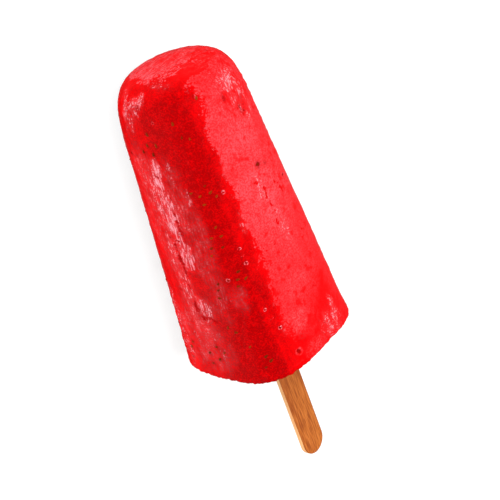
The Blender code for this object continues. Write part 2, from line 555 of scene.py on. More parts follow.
def crack_depth(skin, crack, wander):
    """A groove along a straight line on the skin, bent to and fro by a wander each way, in millimetres:
    exp(-(distance/width)^2)."""
    y0, degrees0, y1, degrees1, width, _ = crack
    up, around = skin.away(y0, degrees0)
    rise = skin.up_at(y1) - skin.up_at(y0)
    run = math.radians(degrees1 - degrees0) * tapered_half_width((y0 + y1) / 2) * 1.05
    length = math.hypot(rise, run)
    done = np.clip((up * rise + around * run) / length**2, 0, 1)
    distance = np.hypot(up - done * rise + wander[0], around - done * run + wander[1])
    return np.exp(-((distance / width) ** 2))


def crack_wander(skin):
    up = 0.8 * layered(skin.points, 2.0, 56, 3) + 0.30 * noise(skin.points, 0.8, 64)
    around = 0.8 * layered(skin.points, 2.0, 61, 3) + 0.30 * noise(skin.points, 0.8, 67)
    return up, around


def patches(skin, places, wander):
    """The strongest of the ragged patches in a list at each point."""
    total = np.zeros(skin.up.shape)
    for y, degrees, length, width, strength in places:
        total = np.maximum(total, strength * ragged_patch(skin, y, degrees, length, width, wander))
    return total


def rime_and_glints_on(skin):
    """How much rime lies on each point, from 0 to 1: ragged patches in which the rime comes and goes. Its pale
    specks are partly painted glints.
    """
    points = skin.points
    total = patches(skin, RIME_AND_GLINT_PATCHES, layered(points, 2.4, 21)) * (1 - flat_base(skin))
    from_stick = np.hypot(points[..., 0] - STICK_OFF_CENTRE[0], points[..., 2] - STICK_OFF_CENTRE[1])
    crusted = 0.34 * ramp(layered(points, 5.0, 105), 0.05, 0.45) + 0.25 * ramp(from_stick, 8, 3)
    total = np.maximum(total, crusted * flat_base(skin))
    broken = ramp(layered(points, (1.3, 2.4, 1.3), 31, 3), -0.30, 0.36)
    return np.clip(total * (0.52 + 0.80 * broken), 0, 1) * skin.freedom


def degrees_round(skin):
    """The angle of each point in degrees, from -90 up to 270."""
    return np.degrees(turned(skin.angle - math.pi / 2)) + 90


def end_share(skin):
    """1 on the flat end of the bar and 0 on its sides, with a wandering border."""
    radius = skin.radius + 2.4 * layered(skin.points, 3.4, 99, 4)
    return ramp(radius, END_RADIUS + 1.6, END_RADIUS - 1.6) * ramp(skin.points[..., 1], 85, 90)


def flat_base(skin):
    """1 on the base of the bar and 0 on its sides, with a wandering border inside the rim."""
    share = skin.base_share + 0.10 * layered(skin.points, 5.0, 102)
    return ramp(skin.base_share, 0.945, 0.86) * ramp(share, 0.92, 0.70)


def film_and_sheen_edge_on(skin):
    """Which points lie under the top face's pale veil, which is partly a painted sheen: 0.5 along its edge, rising
    towards 1 inside, falling towards 0 outside, and the more gently the softer the edge is. On the flat end it has
    an edge of its own."""
    points = skin.points
    edge_y, edge_angle, softness = np.array(SHEEN_EDGE_LINE, float).T
    edge = np.interp(points[..., 1], edge_y, edge_angle)
    soft = np.interp(points[..., 1], edge_y, softness)
    inside = (edge - degrees_round(skin)) * skin.radius * math.pi / 180
    inside += 0.8 * layered(points, 2.8, 81, 2) + 0.5 * noise(points, 1.0, 85)
    side = 0.5 + inside / (5 * soft)
    right = ramp(degrees_round(skin) + 9 * layered(points, 9.0, 82), 5, 40)
    x, z = points[..., 0], points[..., 2]
    wander = 5.5 * layered(points, 4.2, 88, 4)
    softness = 8.0 + 8.0 * ramp(x, -3, 6)
    end = 0.5 + np.minimum((x - END_SHEEN_LEFT + wander) / 9.0, (END_SHEEN_TOP - z + 0.6 * wander) / softness)
    share = end_share(skin)
    return np.clip(np.minimum(side, right) * (1 - share) + end * share, 0, 1) * (1 - flat_base(skin))


def film_and_sheen_on(skin):
    """How thick the top face's pale veil is, from 0 to 1, wherever it lies: partly a thin layer on the ice and
    partly a painted sheen that stands in for a soft reflection on the top face and the flat end.
    """
    points = skin.points
    y, degrees = points[..., 1], degrees_round(skin)
    film_and_sheen = 0.31 + 0.20 * ramp(y, 30, 58) - 0.13 * ramp(y, 78, 95) + 0.16 * layered(points, 7.0, 83, 2)
    film_and_sheen = film_and_sheen * (0.28 + 0.72 * ramp(y, 0, 30)) * ramp(degrees, 15, 75) ** 0.5 + 0.12 * spot(skin, 56, 88, 14, 7)
    film_and_sheen = film_and_sheen * (1 + 0.34 * layered(points, 1.9, 84, 2))
    film_and_sheen = film_and_sheen * (1 - patches(skin, RICH, layered(points, 4.0, 87, 4)))
    film_and_sheen = film_and_sheen * (1 - 0.8 * ramp(noise(points, 1.5, 96), 0.45, 0.7) * ramp(degrees, 104, 114))
    film_and_sheen = film_and_sheen * (1 - 0.30 * ramp(degrees, 82, 66)) * (1 - 0.70 * spot(skin, 98.8, 96, 3.2, 6))
    film_and_sheen = film_and_sheen * (1 - 0.75 * ramp(layered(points, 2.0, 98, 3) + 0.16 * ramp(y, 45, 15), 0.26, 0.52))
    x, z = points[..., 0], points[..., 2]
    inner = np.minimum(np.maximum(x - END_SHEEN_LEFT, 0), np.maximum(END_SHEEN_TOP - z, 0) + 0.35 * np.abs(x + 4))
    end = 0.40 + 0.32 * ramp(inner, 6, 1) - 0.32 * ramp(x, -2, 6) + 0.45 * layered(points, (3.0, 2.0, 1.6), 89, 4)
    share = end_share(skin)
    return np.clip(film_and_sheen * (1 - share) + end * share, 0, 1)


def haze_and_sheen_on(skin):
    """How much thin pale mist lies on each point, from 0 to 1, in soft patches away from the top face: partly a
    mist on the ice and partly a painted sheen standing in for soft reflections.
    """
    points = skin.points
    haze_and_sheen = 0.87 * patches(skin, HAZE_AND_SHEEN_PATCHES, layered(points, 6.0, 86))
    haze_and_sheen = haze_and_sheen * (1 - patches(skin, RICH, layered(points, 4.0, 87)))
    haze_and_sheen = haze_and_sheen * (0.40 + 1.1 * ramp(layered(points, (1.6, 3.0, 1.6), 97, 3), -0.40, 0.40))
    mottled = np.maximum(1 + 2.0 * layered(points, 1.8, 93, 2), 0)
    end_haze_and_sheen = 0.06 * ramp(film_and_sheen_edge_on(skin), 0.4, 0.7) + 0.04 * ramp(points[..., 0], -4, 2)
    base = flat_base(skin)
    haze_and_sheen = haze_and_sheen * (1 - base) + end_share(skin) * mottled * end_haze_and_sheen + 0.11 * mottled * base
    return np.clip(haze_and_sheen, 0, 1)


def deep_and_shade_on(skin):
    """How much deeper and darker the red is, from 0 to 1: most in a column beside the ridge, and little on the far
    left. It is partly the ice's own colour and partly painted shade, on the side turned from the lamps, on the
    underside and low beside the stick.
    """
    points = skin.points
    degrees = degrees_round(skin)
    wander = 4.0 * layered(points, 7.0, 91)
    start = np.interp(points[..., 1], (0, 40, 60, 68, 80, 90, 100), (120, 122, 121, 117, 118, 119, 128))
    column = ramp(degrees + wander - start, 0, 10) * ramp(degrees + wander, 200, 158)
    column = np.maximum(column, 0.52 * ramp(degrees, 112, 121) * ramp(degrees, 208, 196))
    column = np.maximum(column, 0.22 * ramp(degrees, 190, 200) * ramp(degrees, 235, 215))
    column += 0.12 * ramp(points[..., 1], 30, 12) * ramp(degrees, 121, 135) * ramp(degrees, 208, 196)
    # Painted shade on the underside of the right side, away from the tip.
    under = 0.5 * ramp(degrees, 20, -10) * ramp(points[..., 1], 96, 86)
    deep_and_shade = column * (0.50 + 0.50 * ramp(points[..., 1], 100, 93)) + under + 0.26 * layered(points, 3.0, 92)
    # Spots of deeper red, partly the ice's own and partly painted shade, such as the one low beside the stick.
    deep_and_shade += 0.25 * spot(skin, 3, 134, 4, 9) + 0.30 * spot(skin, 86, 206, 7, 7) + 0.25 * spot(skin, 7, 108, 5, 5)
    deep_and_shade += 0.22 * spot(skin, 6, 76, 6, 6) + 0.35 * spot(skin, 95.5, 128, 2.5, 3) + 0.12 * spot(skin, 99, 140, 3, 8)
    deep_and_shade += 0.28 * spot(skin, 87, 69, 6, 6) + 0.30 * spot(skin, 97, 120, 2, 3) + 0.20 * spot(skin, 90, 175, 5, 4)
    deep_and_shade += 0.35 * spot(skin, 31, 125, 6, 3) + 0.25 * spot(skin, 24, 184, 3, 3) - 0.35 * spot(skin, 4, 119, 6, 4)
    base = flat_base(skin)
    deep_and_shade = deep_and_shade * (1 - end_share(skin) * ramp(points[..., 0], -12, -3)) * (1 - base)
    return np.clip(deep_and_shade + base * (0.40 + 0.35 * layered(points, 6.0, 104)), 0, 1)


def fibrous_on(skin):
    """How streaky the ice is, from 0 to 1: most on the left face and near the tip, least on the top face."""
    y, degrees = skin.points[..., 1], degrees_round(skin)
    left = ramp(degrees, 136, 166) * (0.10 + 0.90 * ramp(y, 14, 34))
    tip = ramp(y, 76, 88) * ramp(degrees, 112, 84) + end_share(skin)
    return np.clip(left + tip + spot(skin, 7, 66, 9, 9), 0, 1) * (1 - flat_base(skin))


def coarse_on(skin):
    """1 where rime lies in loose crumbs, on the top face away from the tip, and 0 where it lies in threads."""
    y = skin.points[..., 1]
    top = ramp(degrees_round(skin), 104, 80) * ramp(y, 84, 74)
    return np.maximum(top, ramp(y, 24, 16)) * (1 - flat_base(skin))


def left_face(skin):
    """1 on the left face and 0 on the others."""
    return ramp(np.abs(turned(skin.angle - math.radians(178))), math.radians(48), math.radians(18))


def ice_relief(skin, rime_and_glints):
    """Height over the smooth skin, in millimetres: broad swells, ripples along the bar that are strongest on the
    left face, crusts of rime, cracks, hollows, burst bubbles and an uneven rim round the base."""
    points = skin.points
    base = flat_base(skin)
    left = left_face(skin) * (1 - base)
    height = 0.22 * noise(points, 26.0, 51) + 0.12 * layered(points, 9.0, 52)
    height += (0.03 + 0.10 * left) * layered(points, (1.3, 6.0, 1.3), 53)
    height += (0.05 + 0.05 * left) * layered(points, 1.7, 54, 2)
    height += 0.07 * noise(points, (1.0, 1.2, 1.0), 58) + 0.10 * base * layered(points, 2.6, 106)
    rough = spot(skin, 88, 47, 14, 5) + 1.6 * spot(skin, 12, 214, 16, 4) + 0.3 * end_share(skin)
    height += 0.60 * rough * layered(points, 1.4, 63, 2)
    height += 0.10 * ramp(layered(points, 1.6, 60, 2), 0.30, 0.65)
    height += rime_and_glints * 0.20 * (0.5 + layered(points, (0.8, 1.4, 0.8), 55, 2))
    for y, degrees, length, width, swell in SWELLS:
        height += swell * spot(skin, y, degrees, length, width)
    wander = crack_wander(skin)
    for crack in CRACKS:
        height -= crack[-1] * crack_depth(skin, crack, wander)
    for y, degrees, length, width, depth in DENTS:
        height -= depth * spot(skin, y, degrees, length, width)
    for pit in PITS:
        height += pit_relief(skin, *pit)
    rim = ramp(skin.up, 4.0, 0.3) * ramp(skin.up, -4.0, -0.3)
    height += rim * (0.40 * layered(points, 2.2, 57) + 0.42 * layered(points, 1.2, 62, 2) + 0.10)
    return height * skin.freedom


def cracks_on(skin):
    """How near each point is to a crack or a nick, from 0 to 1: exp(-(distance / twice the width)^2), less where
    the crack is shallow."""
    near = np.zeros(skin.up.shape)
    wander = crack_wander(skin)
    for crack in CRACKS:
        wide = (*crack[:4], 2.0 * crack[4], crack[5])
        near = np.maximum(near, crack_depth(skin, wide, wander) * min(1, 0.85 + 0.5 * crack[5]))
    return near * ramp(layered(skin.points, 1.4, 68, 2), -0.60, 0.10) * skin.freedom


def hollow_shade_on(skin):
    """How dark the hollows are painted, from 0 to 1: painted shade, darker the greater the depth."""
    dark = np.zeros(skin.up.shape)
    for y, degrees, length, width, depth in DENTS:
        dark = np.maximum(dark, spot(skin, y, degrees, length, width) * min(1, depth * 1.8))
    return dark * skin.freedom


def pits_on(skin):
    """Where each point lies from the middle of the nearest pit, up and round, in that pit's radii, how dark its
    middle is painted as shade, which follows its depth, and how pale its rim and painted glint are. The material
    draws the pit from these."""
    nearest = np.full(skin.up.shape, 9.0)
    found = [np.full(skin.up.shape, value) for value in (9.0, 9.0, 0.0, 0.0)]
    for y, degrees, radius, depth, paleness in PITS:
        up, around = skin.away(y, degrees)
        reach = np.hypot(up, around) / radius
        near = reach < nearest
        nearest = np.where(near, reach, nearest)
        values = (up / radius, around / radius, min(1, 1.3 * depth), paleness)
        found = [np.where(near, value, old) for value, old in zip(values, found)]
    return dict(zip(("pit_up", "pit_round", "pit_dark", "pit_pale"), map(padded, found)))


def seeds_near(skin):
    """How near each point is to a seed, from 0 to 1: exp(-(distance / 0.9 mm)^2) of the nearest."""
    near = np.zeros(skin.up.shape)
    for y, angle in zip(*seed_places(np.random.default_rng(SEED))):
        near = np.maximum(near, spot(skin, y, math.degrees(angle), 0.9, 0.9))
    return near


def build_ice(material):
    """The bar of ice: the smooth skin moved out along its normals by its relief, and pressed flat underneath."""
    skin = Skin()
    rime_and_glints = rime_and_glints_on(skin)
    height = ice_relief(skin, rime_and_glints)
    shaped = skin.points + skin.normals * height[..., None]
    poles = np.array([[STICK_OFF_CENTRE[0], HOLE_DEPTH, STICK_OFF_CENTRE[1]], [0, BAR_LENGTH, 0]])
    poles[1, 1] = shaped[-1, :, 1].mean()
    corners = to_row(np.concatenate([shaped.reshape(-1, 3), poles]))
    corners[:, 2] = np.maximum(corners[:, 2], 0)

    attributes = {
        "rime_and_glints": padded(rime_and_glints),
        "film_and_sheen": padded(film_and_sheen_on(skin)),
        "film_and_sheen_edge": padded(film_and_sheen_edge_on(skin)),
        "haze_and_sheen": padded(haze_and_sheen_on(skin)),
        "fibrous": padded(fibrous_on(skin)),
        "coarse": padded(coarse_on(skin)),
        "end": padded(end_share(skin)),
        # Darker red round each seed: painted shade that sets the seeds into the ice.
        "deep_and_shade": padded(np.clip(deep_and_shade_on(skin) + 0.55 * seeds_near(skin), 0, 1)),
        "mark": padded(hollow_shade_on(skin)),
        "crack": padded(cracks_on(skin)),
        **pits_on(skin),
    }
    rings, columns = skin.up.shape
    faces = closed_grid_faces(rings, columns)
    piece = new_piece(
        "ice", corners, faces, material, attributes, replaces=["ice_bar"]
    )
    piece.visible_diffuse = False
    return piece, skin, shaped


def padded(values):
    """The values of all ring points, and then one for each of the two poles."""
    flat = np.asarray(values, float)
    return np.concatenate([flat.ravel(), [flat[0].mean(), flat[-1].mean()]])


# ---------------------------------------------------------------- seeds


SEED_LENGTH = 1.42
SEED_WIDTH = 0.88
SEED_THICKNESS = 0.58
SEED_AROUND = 10
SEED_RINGS = 6

# The seeds of the shown side: place along the bar, and angle.
SHOWN_SEEDS = (
    (94.4, 116.6), (89.5, 144.5), (85, 141), (84, 135), (87, 174), (83.3, 177.5), (83.3, 167.5), (81, 184.5), (80.5, 173.5),
    (68.6, 136.5), (67.2, 149), (66, 134), (65.8, 143), (64.3, 130), (62.9, 141.5),
    (55, 139.5), (51.8, 145.5), (51.6, 137.5), (48.5, 148), (48.2, 139), (45.8, 150),
    (39.2, 134.5), (37, 144.3), (36.5, 137), (36.3, 153), (36.2, 130.5), (34.2, 138), (34, 154.5), (31.2, 155.5),
    (20.8, 157), (18.8, 151.5), (13.4, 144.5), (12.8, 174.5), (12, 203), (11, 168), (10, 206.5), (9.8, 184.5),
    (9, 136), (7.9, 176), (7.5, 133.5), (5.8, 184.5), (5.6, 138.7), (5.6, 209), (65.3, 81.6),
)
HIDDEN_SEEDS = 85
SEED_LEAN = 0.5
SEED_LEAN_AT_TIP = 1.5
SEED_LEAN_SPREAD = 0.35


def seed_shape():
    """A teardrop of length 1 along X: rings of radius sin(t)^0.8 (1 + 0.35 cos(t)) / 1.1, flattened later."""
    along = np.linspace(0, math.pi, SEED_RINGS + 2)[1:-1]
    turn = np.linspace(0, 2 * math.pi, SEED_AROUND, endpoint=False)
    radius = np.sin(along) ** 0.8 * (1 + 0.35 * np.cos(along)) / 2.2
    x = np.repeat(-np.cos(along)[:, None] / 2, SEED_AROUND, 1)
    rings = np.stack([x, radius[:, None] * np.cos(turn), radius[:, None] * np.sin(turn)], -1)
    ends = np.array([[-0.5, 0, 0], [0.5, 0, 0]])
    return np.concatenate([rings.reshape(-1, 3), ends])


def seed_places(draw):
    """Place along the bar and angle of every seed: those that show, and a scatter on the hidden sides."""
    ys, angles = np.array(SHOWN_SEEDS, float).T
    ys = np.concatenate([ys, draw.uniform(4, 92, HIDDEN_SEEDS)])
    angles = np.concatenate([angles, draw.uniform(-148, 35, HIDDEN_SEEDS)])
    return ys, np.radians(angles)


def build_seeds(skin, shaped, material):
    """The seeds, all as one mesh: each teardrop is turned at random in the skin's plane and sunk in it."""
    draw = np.random.default_rng(SEED)
    ys, angles = seed_places(draw)
    count = len(ys)
    row = np.abs(skin.up[:, :1] - skin.up_at(ys)).argmin(0)
    column = np.abs(turned(skin.angles[:, None] - angles)).argmin(0)
    normals = outward_normals(shaped)[row, column]
    places = shaped[row, column]
    flat = np.cross(np.array([0.0, 1.0, 0.0]), normals)
    flat /= np.linalg.norm(flat, axis=-1, keepdims=True)
    other = np.cross(normals, flat)
    turn = draw.normal(SEED_LEAN, SEED_LEAN_SPREAD, count) + (SEED_LEAN_AT_TIP - SEED_LEAN) * ramp(ys, 73, 79)
    turn = turn[:, None]
    long_way = flat * np.cos(turn) + other * np.sin(turn)
    wide_way = np.cross(normals, long_way)
    size = draw.uniform(0.8, 1.15, count)[:, None, None]
    shape = seed_shape()
    grown = (
        shape[:, 0, None] * SEED_LENGTH * long_way[:, None]
        + shape[:, 1, None] * SEED_WIDTH * wide_way[:, None]
        + shape[:, 2, None] * SEED_THICKNESS * normals[:, None]
    )
    sunk = draw.uniform(-0.14, -0.02, count)[:, None, None] * normals[:, None]
    points = places[:, None] + grown * size + sunk
    faces = closed_grid_faces(SEED_RINGS, SEED_AROUND)
    per_seed = len(shape)
    all_faces = [[corner + k * per_seed for corner in face] for k in range(count) for face in faces]
    tint = np.repeat(draw.uniform(0, 1, count), per_seed)
    clear = ((grown * size + sunk) * normals[:, None]).sum(-1).ravel()
    attributes = {"tint": tint, "bare": ramp(clear, -0.06, 0.06), "top": ramp(clear, 0.10, 0.26)}
    corners = to_row(points.reshape(-1, 3))
    corners[:, 2] = np.maximum(corners[:, 2], 0)
    return new_piece("seeds", corners, all_faces, material, attributes)


# ---------------------------------------------------------------- the stick


STICK_STEP = 0.6
STICK_END_RINGS = 14
STICK_FACE_COLUMNS = 18
STICK_EDGE_COLUMNS = 8


def stick_section():
    """One turn round a plank 2 wide and 2 thick, as (across, up, edge) from -1 to 1. The columns crowd towards
    the corners as a sine does. Edge is 1 on the two narrow sides, and -1 on the first columns of each face."""
    face = np.sin(np.linspace(-math.pi / 2, math.pi / 2, STICK_FACE_COLUMNS + 1))[:-1]
    edge = np.sin(np.linspace(-math.pi / 2, math.pi / 2, STICK_EDGE_COLUMNS + 1))[:-1]
    across = np.concatenate([face, np.ones(len(edge)), -face, -np.ones(len(edge))])
    up = np.concatenate([np.full(len(face), -1.0), edge, np.full(len(face), 1.0), -edge])
    face_mark = -ramp(np.abs(face), 0.90, 0.96) * ramp(np.abs(face), 1.0, 0.985)
    on_edge = np.concatenate([face_mark, np.ones(len(edge))] * 2)
    return across, up, on_edge


def build_stick(material):
    """The stick: a rounded-rectangle section carried along it, whose half width follows a half circle at both
    ends, with slightly uneven faces."""
    across, up, on_edge = stick_section()
    radius = STICK_WIDTH / 2
    turn = np.linspace(0, math.pi / 2, STICK_END_RINGS + 1)[1:]
    near = -STICK_OUT + radius * (1 - np.cos(turn))
    far = STICK_LENGTH - STICK_OUT - radius * (1 - np.cos(turn))
    middle = np.arange(near[-1] + STICK_STEP, far[-1] - STICK_STEP / 2, STICK_STEP)
    ys = np.concatenate([near, middle, far[::-1]])
    half = np.concatenate([radius * np.sin(turn), np.full(len(middle), radius), radius * np.sin(turn[::-1])])

    # A square corner is rounded by drawing in what lies beyond the bevel's radius.
    half_thick = STICK_THICKNESS / 2
    x = across[None] * half[:, None]
    z = np.broadcast_to(up[None] * half_thick, x.shape)
    inner_x = np.sign(x) * np.maximum(np.abs(x), 0).clip(0, np.maximum(half - STICK_EDGE, 0)[:, None])
    inner_z = np.clip(z, -(half_thick - STICK_EDGE), half_thick - STICK_EDGE)
    out = np.stack([x - inner_x, z - inner_z], -1)
    length = np.linalg.norm(out, axis=-1, keepdims=True) + 1e-9
    out = out / length * np.minimum(length, STICK_EDGE)
    x, z = inner_x + out[..., 0], inner_z + out[..., 1]

    points = np.stack([x, np.broadcast_to(ys[:, None], x.shape), z], -1)
    normals = outward_normals(points)
    uneven = 0.03 * noise(points, (3.0, 14.0, 3.0), 71) + 0.012 * layered(points, (0.7, 6.0, 0.7), 72)
    points = points + normals * (uneven - 0.01)[..., None]
    ends = np.array([[0, -STICK_OUT, 0], [0, STICK_LENGTH - STICK_OUT, 0]], float)
    points = np.concatenate([points.reshape(-1, 3), ends])
    cos, sin = math.cos(STICK_YAW), math.sin(STICK_YAW)
    x, y, z = points.T
    placed = np.stack([x * cos - y * sin + STICK_OFF_CENTRE[0], x * sin + y * cos, z + STICK_OFF_CENTRE[1]], -1)
    edge = np.broadcast_to(on_edge, (len(ys), len(across)))
    # Darker towards the ice: partly wetted wood, partly painted shade from the ice.
    wet_and_shade = np.exp(-((np.minimum(points[:, 1], 0) / 24.0) ** 2))
    faces = closed_grid_faces(len(ys), len(across))
    attributes = {"edge": padded(edge), "wet_and_shade": wet_and_shade}
    return new_piece(
        "wooden_stick", to_row(placed), faces, material, attributes, replaces=["stick"]
    )


# ---------------------------------------------------------------- materials


class Nodes:
    """A material's node tree, with short ways to add and join nodes."""

    def __init__(self, name):
        self.material = bpy.data.materials.new(name)
        self.material.use_nodes = True
        self.tree = self.material.node_tree
        self.shader = self.tree.nodes["Principled BSDF"]

    def add(self, kind, inputs=None, **settings):
        node = self.tree.nodes.new(kind)
        for key, value in settings.items():
            setattr(node, key, value)
        for key, value in (inputs or {}).items():
            self.feed(value, node.inputs[key])
        return node

    def feed(self, value, socket):
        if isinstance(value, bpy.types.NodeSocket):
            self.tree.links.new(value, socket)
        else:
            socket.default_value = value

    def attribute(self, name):
        return self.add("ShaderNodeAttribute", attribute_name=name).outputs["Fac"]

    def place(self, scale):
        """Object coordinates, stretched."""
        here = self.add("ShaderNodeTexCoord").outputs["Object"]
        mapping = self.add("ShaderNodeMapping", {"Vector": here, "Scale": scale})
        return mapping.outputs["Vector"]

    def noise(self, place, scale, detail=3.0, roughness=0.55):
        inputs = {"Vector": place, "Scale": scale, "Detail": detail, "Roughness": roughness}
        return self.add("ShaderNodeTexNoise", inputs).outputs["Fac"]

    def between(self, value, low, high, to_low=0.0, to_high=1.0):
        inputs = {0: value, 1: low, 2: high, 3: to_low, 4: to_high}
        return self.add("ShaderNodeMapRange", inputs).outputs[0]

    def smooth_step(self, value, low, high):
        inputs = {0: value, 1: low, 2: high, 3: 0.0, 4: 1.0}
        return self.add("ShaderNodeMapRange", inputs, interpolation_type="SMOOTHSTEP").outputs[0]

    def maths(self, kind, first, second, clamp=False):
        node = self.add("ShaderNodeMath", {0: first, 1: second}, operation=kind, use_clamp=clamp)
        return node.outputs[0]

    def mix(self, share, first, second):
        node = self.add("ShaderNodeMix", data_type="RGBA")
        self.feed(share, node.inputs[0])
        self.feed(first, node.inputs[6])
        self.feed(second, node.inputs[7])
        return node.outputs[2]

    def bump(self, height, strength, distance, under=None):
        inputs = {"Height": height, "Strength": strength, "Distance": distance}
        if under is not None:
            inputs["Normal"] = under
        return self.add("ShaderNodeBump", inputs).outputs["Normal"]


CLEAR_RED = (0.95, 0.0004, 0.0015, 1)
# Darker red, partly the ice's own and partly painted shade.
DEEP_AND_SHADED_RED = (0.40, 0.0005, 0.0012, 1)
# Reds painted in cracks as shade in their grooves; the darker one where the red is deeper, and in hollows.
CRACK_SHADE_RED = (0.80, 0.0006, 0.0018, 1)
DARK_SHADE_RED = (0.46, 0.0006, 0.0018, 1)
# Dark brownish red painted in hollows and pits as shade.
HOLLOW_SHADE_RED = (0.22, 0.003, 0.002, 1)
# Pale pink of the top face's veil, partly a painted sheen.
FILM_AND_SHEEN_PINK = (0.97, 0.094, 0.115, 1)
# Pale pink of the mist, partly a painted sheen.
HAZE_AND_SHEEN_PINK = (0.95, 0.170, 0.192, 1)
# Whitish pink of rime, and of the painted glints in it and on the pits' rims.
RIME_AND_GLINT_PINK = (0.96, 0.38, 0.44, 1)


def strawberry_ice():
    """Red fruit ice: clear red, and a deeper red that is partly painted shade, in mottles; over them the top face's
    pale veil, partly a painted sheen, which ends in a ragged edge, a mottled pale mist, partly a painted sheen too,
    and rime that comes and goes in crumbs, with painted glints; then cracks and hollows, painted darker as shade,
    and burst bubbles with painted shade and glints. A fine icy grain runs through its colour, its gloss and its
    surface."""
    n = Nodes("strawberry_ice")
    place = n.place((1, 1, 1))
    mottles = n.between(n.noise(place, 430, 3, 0.55), 0.33, 0.67)
    grain = n.between(n.noise(place, 1300, 3, 0.6), 0.33, 0.67)
    fine = n.between(n.noise(place, 1900, 1, 0.5), 0.38, 0.62)
    streaks = n.between(n.noise(n.place((1, 0.20, 1)), 1150, 3, 0.6), 0.33, 0.67)
    along = n.noise(n.place((1, 0.17, 1)), 2300, 1, 0.5)
    across = n.noise(n.place((0.18, 1, 1)), 2300, 1, 0.5)
    end = n.attribute("end")
    threads = n.maths("ADD", along, n.maths("MULTIPLY", end, n.maths("SUBTRACT", across, along)))
    threads = n.between(threads, 0.36, 0.64)
    crumbs = n.between(n.noise(n.place((1, 0.75, 1)), 800, 4, 0.62), 0.33, 0.67)
    names = ("rime_and_glints", "film_and_sheen", "film_and_sheen_edge", "haze_and_sheen", "deep_and_shade", "mark", "crack", "fibrous", "coarse")
    rime_and_glints, film_and_sheen, film_and_sheen_edge, haze_and_sheen, deep_and_shade, mark, crack, fibrous, coarse = (n.attribute(name) for name in names)
    fibre = n.maths("MULTIPLY", n.between(threads, 0, 1, 0.35, 1.65), n.between(streaks, 0, 1, 0.65, 1.35))
    fibre = n.maths("ADD", 1.0, n.maths("MULTIPLY", fibrous, n.maths("SUBTRACT", fibre, 1.0)))
    fibre = n.maths("MULTIPLY", fibre, n.between(fine, 0, 1, 0.55, 1.45))

    uneven = n.maths("ADD", n.between(mottles, 0, 1, -0.17, 0.17), n.between(grain, 0, 1, -0.10, 0.10))
    uneven = n.maths("ADD", uneven, n.between(fine, 0, 1, -0.22, 0.22))
    mottled = n.maths("MULTIPLY", uneven, n.between(deep_and_shade, 0, 1, 0.35, 1))
    colour = n.mix(n.maths("ADD", n.maths("MULTIPLY", deep_and_shade, 0.82), mottled, clamp=True), CLEAR_RED, DEEP_AND_SHADED_RED)

    # The top face's pale veil, partly a painted sheen, ends in a ragged edge.
    ragged = n.maths("ADD", n.between(crumbs, 0, 1, -0.22, 0.22), n.between(grain, 0, 1, -0.14, 0.14))
    ragged = n.maths("ADD", ragged, n.between(fine, 0, 1, -0.10, 0.10))
    covered = n.smooth_step(n.maths("ADD", film_and_sheen_edge, ragged), 0.40, 0.60)
    patchy = n.maths("MULTIPLY", n.between(grain, 0, 1, 0.84, 1.16), n.between(crumbs, 0, 1, 0.84, 1.16))
    patchy = n.maths("MULTIPLY", patchy, fibre)
    film_and_sheen_share = n.maths("MULTIPLY", n.maths("MULTIPLY", film_and_sheen, covered), patchy, clamp=True)
    colour = n.mix(film_and_sheen_share, colour, FILM_AND_SHEEN_PINK)
    # A mottled pale mist, partly a painted sheen.
    cloud = n.maths("MULTIPLY", n.between(crumbs, 0, 1, 0.45, 1.55), n.between(grain, 0, 1, 0.60, 1.40))
    cloud = n.maths("MULTIPLY", cloud, n.between(mottles, 0, 1, 0.7, 1.3))
    cloud = n.maths("MULTIPLY", n.maths("MULTIPLY", cloud, fibre), n.between(fine, 0, 1, 0.7, 1.3))
    colour = n.mix(n.maths("MULTIPLY", haze_and_sheen, cloud, clamp=True), colour, HAZE_AND_SHEEN_PINK)

    # Rime in crusts and specks, partly painted glints.
    lively = n.maths("ADD", n.maths("MULTIPLY", threads, 0.50), n.maths("MULTIPLY", fine, 0.24))
    lively = n.maths("ADD", lively, n.maths("MULTIPLY", crumbs, 0.14))
    lively = n.maths("ADD", lively, n.maths("MULTIPLY", grain, 0.12))
    loose = n.maths("ADD", n.maths("MULTIPLY", crumbs, 0.26), n.maths("MULTIPLY", grain, 0.36))
    loose = n.maths("ADD", loose, n.maths("MULTIPLY", fine, 0.34))
    lively = n.maths("ADD", lively, n.maths("MULTIPLY", coarse, n.maths("SUBTRACT", loose, lively)))
    flecks_and_glints = n.smooth_step(n.maths("ADD", lively, n.maths("MULTIPLY", rime_and_glints, 0.5)), 0.69, 0.86)
    flecks_and_glints = n.maths("MULTIPLY", flecks_and_glints, n.smooth_step(rime_and_glints, 0.02, 0.16))
    crust = n.maths("MULTIPLY", rime_and_glints, n.maths("ADD", 0.16, n.maths("MULTIPLY", rime_and_glints, 0.5)))
    rime_and_glint_share = n.maths("ADD", crust, n.maths("MULTIPLY", flecks_and_glints, 0.56), clamp=True)
    colour = n.mix(rime_and_glint_share, colour, RIME_AND_GLINT_PINK)

    # Cracks painted a darker red, as shade in their grooves.
    jagged = n.maths("ADD", n.between(grain, 0, 1, -0.26, 0.26), n.between(crumbs, 0, 1, -0.28, 0.28))
    jagged = n.maths("ADD", jagged, n.between(threads, 0, 1, -0.12, 0.12))
    split = n.smooth_step(n.maths("ADD", crack, jagged), 0.40, 0.70)
    colour = n.mix(split, colour, n.mix(n.between(deep_and_shade, 0.12, 0.42), CRACK_SHADE_RED, DARK_SHADE_RED))
    # The hollows painted darker, as shade.
    marked = n.maths("MULTIPLY", mark, n.between(grain, 0, 1, 0.6, 1.3), clamp=True)
    colour = n.mix(n.smooth_step(marked, 0.0, 0.8), colour, DARK_SHADE_RED)
    colour = n.mix(n.smooth_step(marked, 0.3, 1.0), colour, HOLLOW_SHADE_RED)
    colour = pits_drawn(n, colour, grain)
    n.feed(colour, n.shader.inputs["Base Color"])

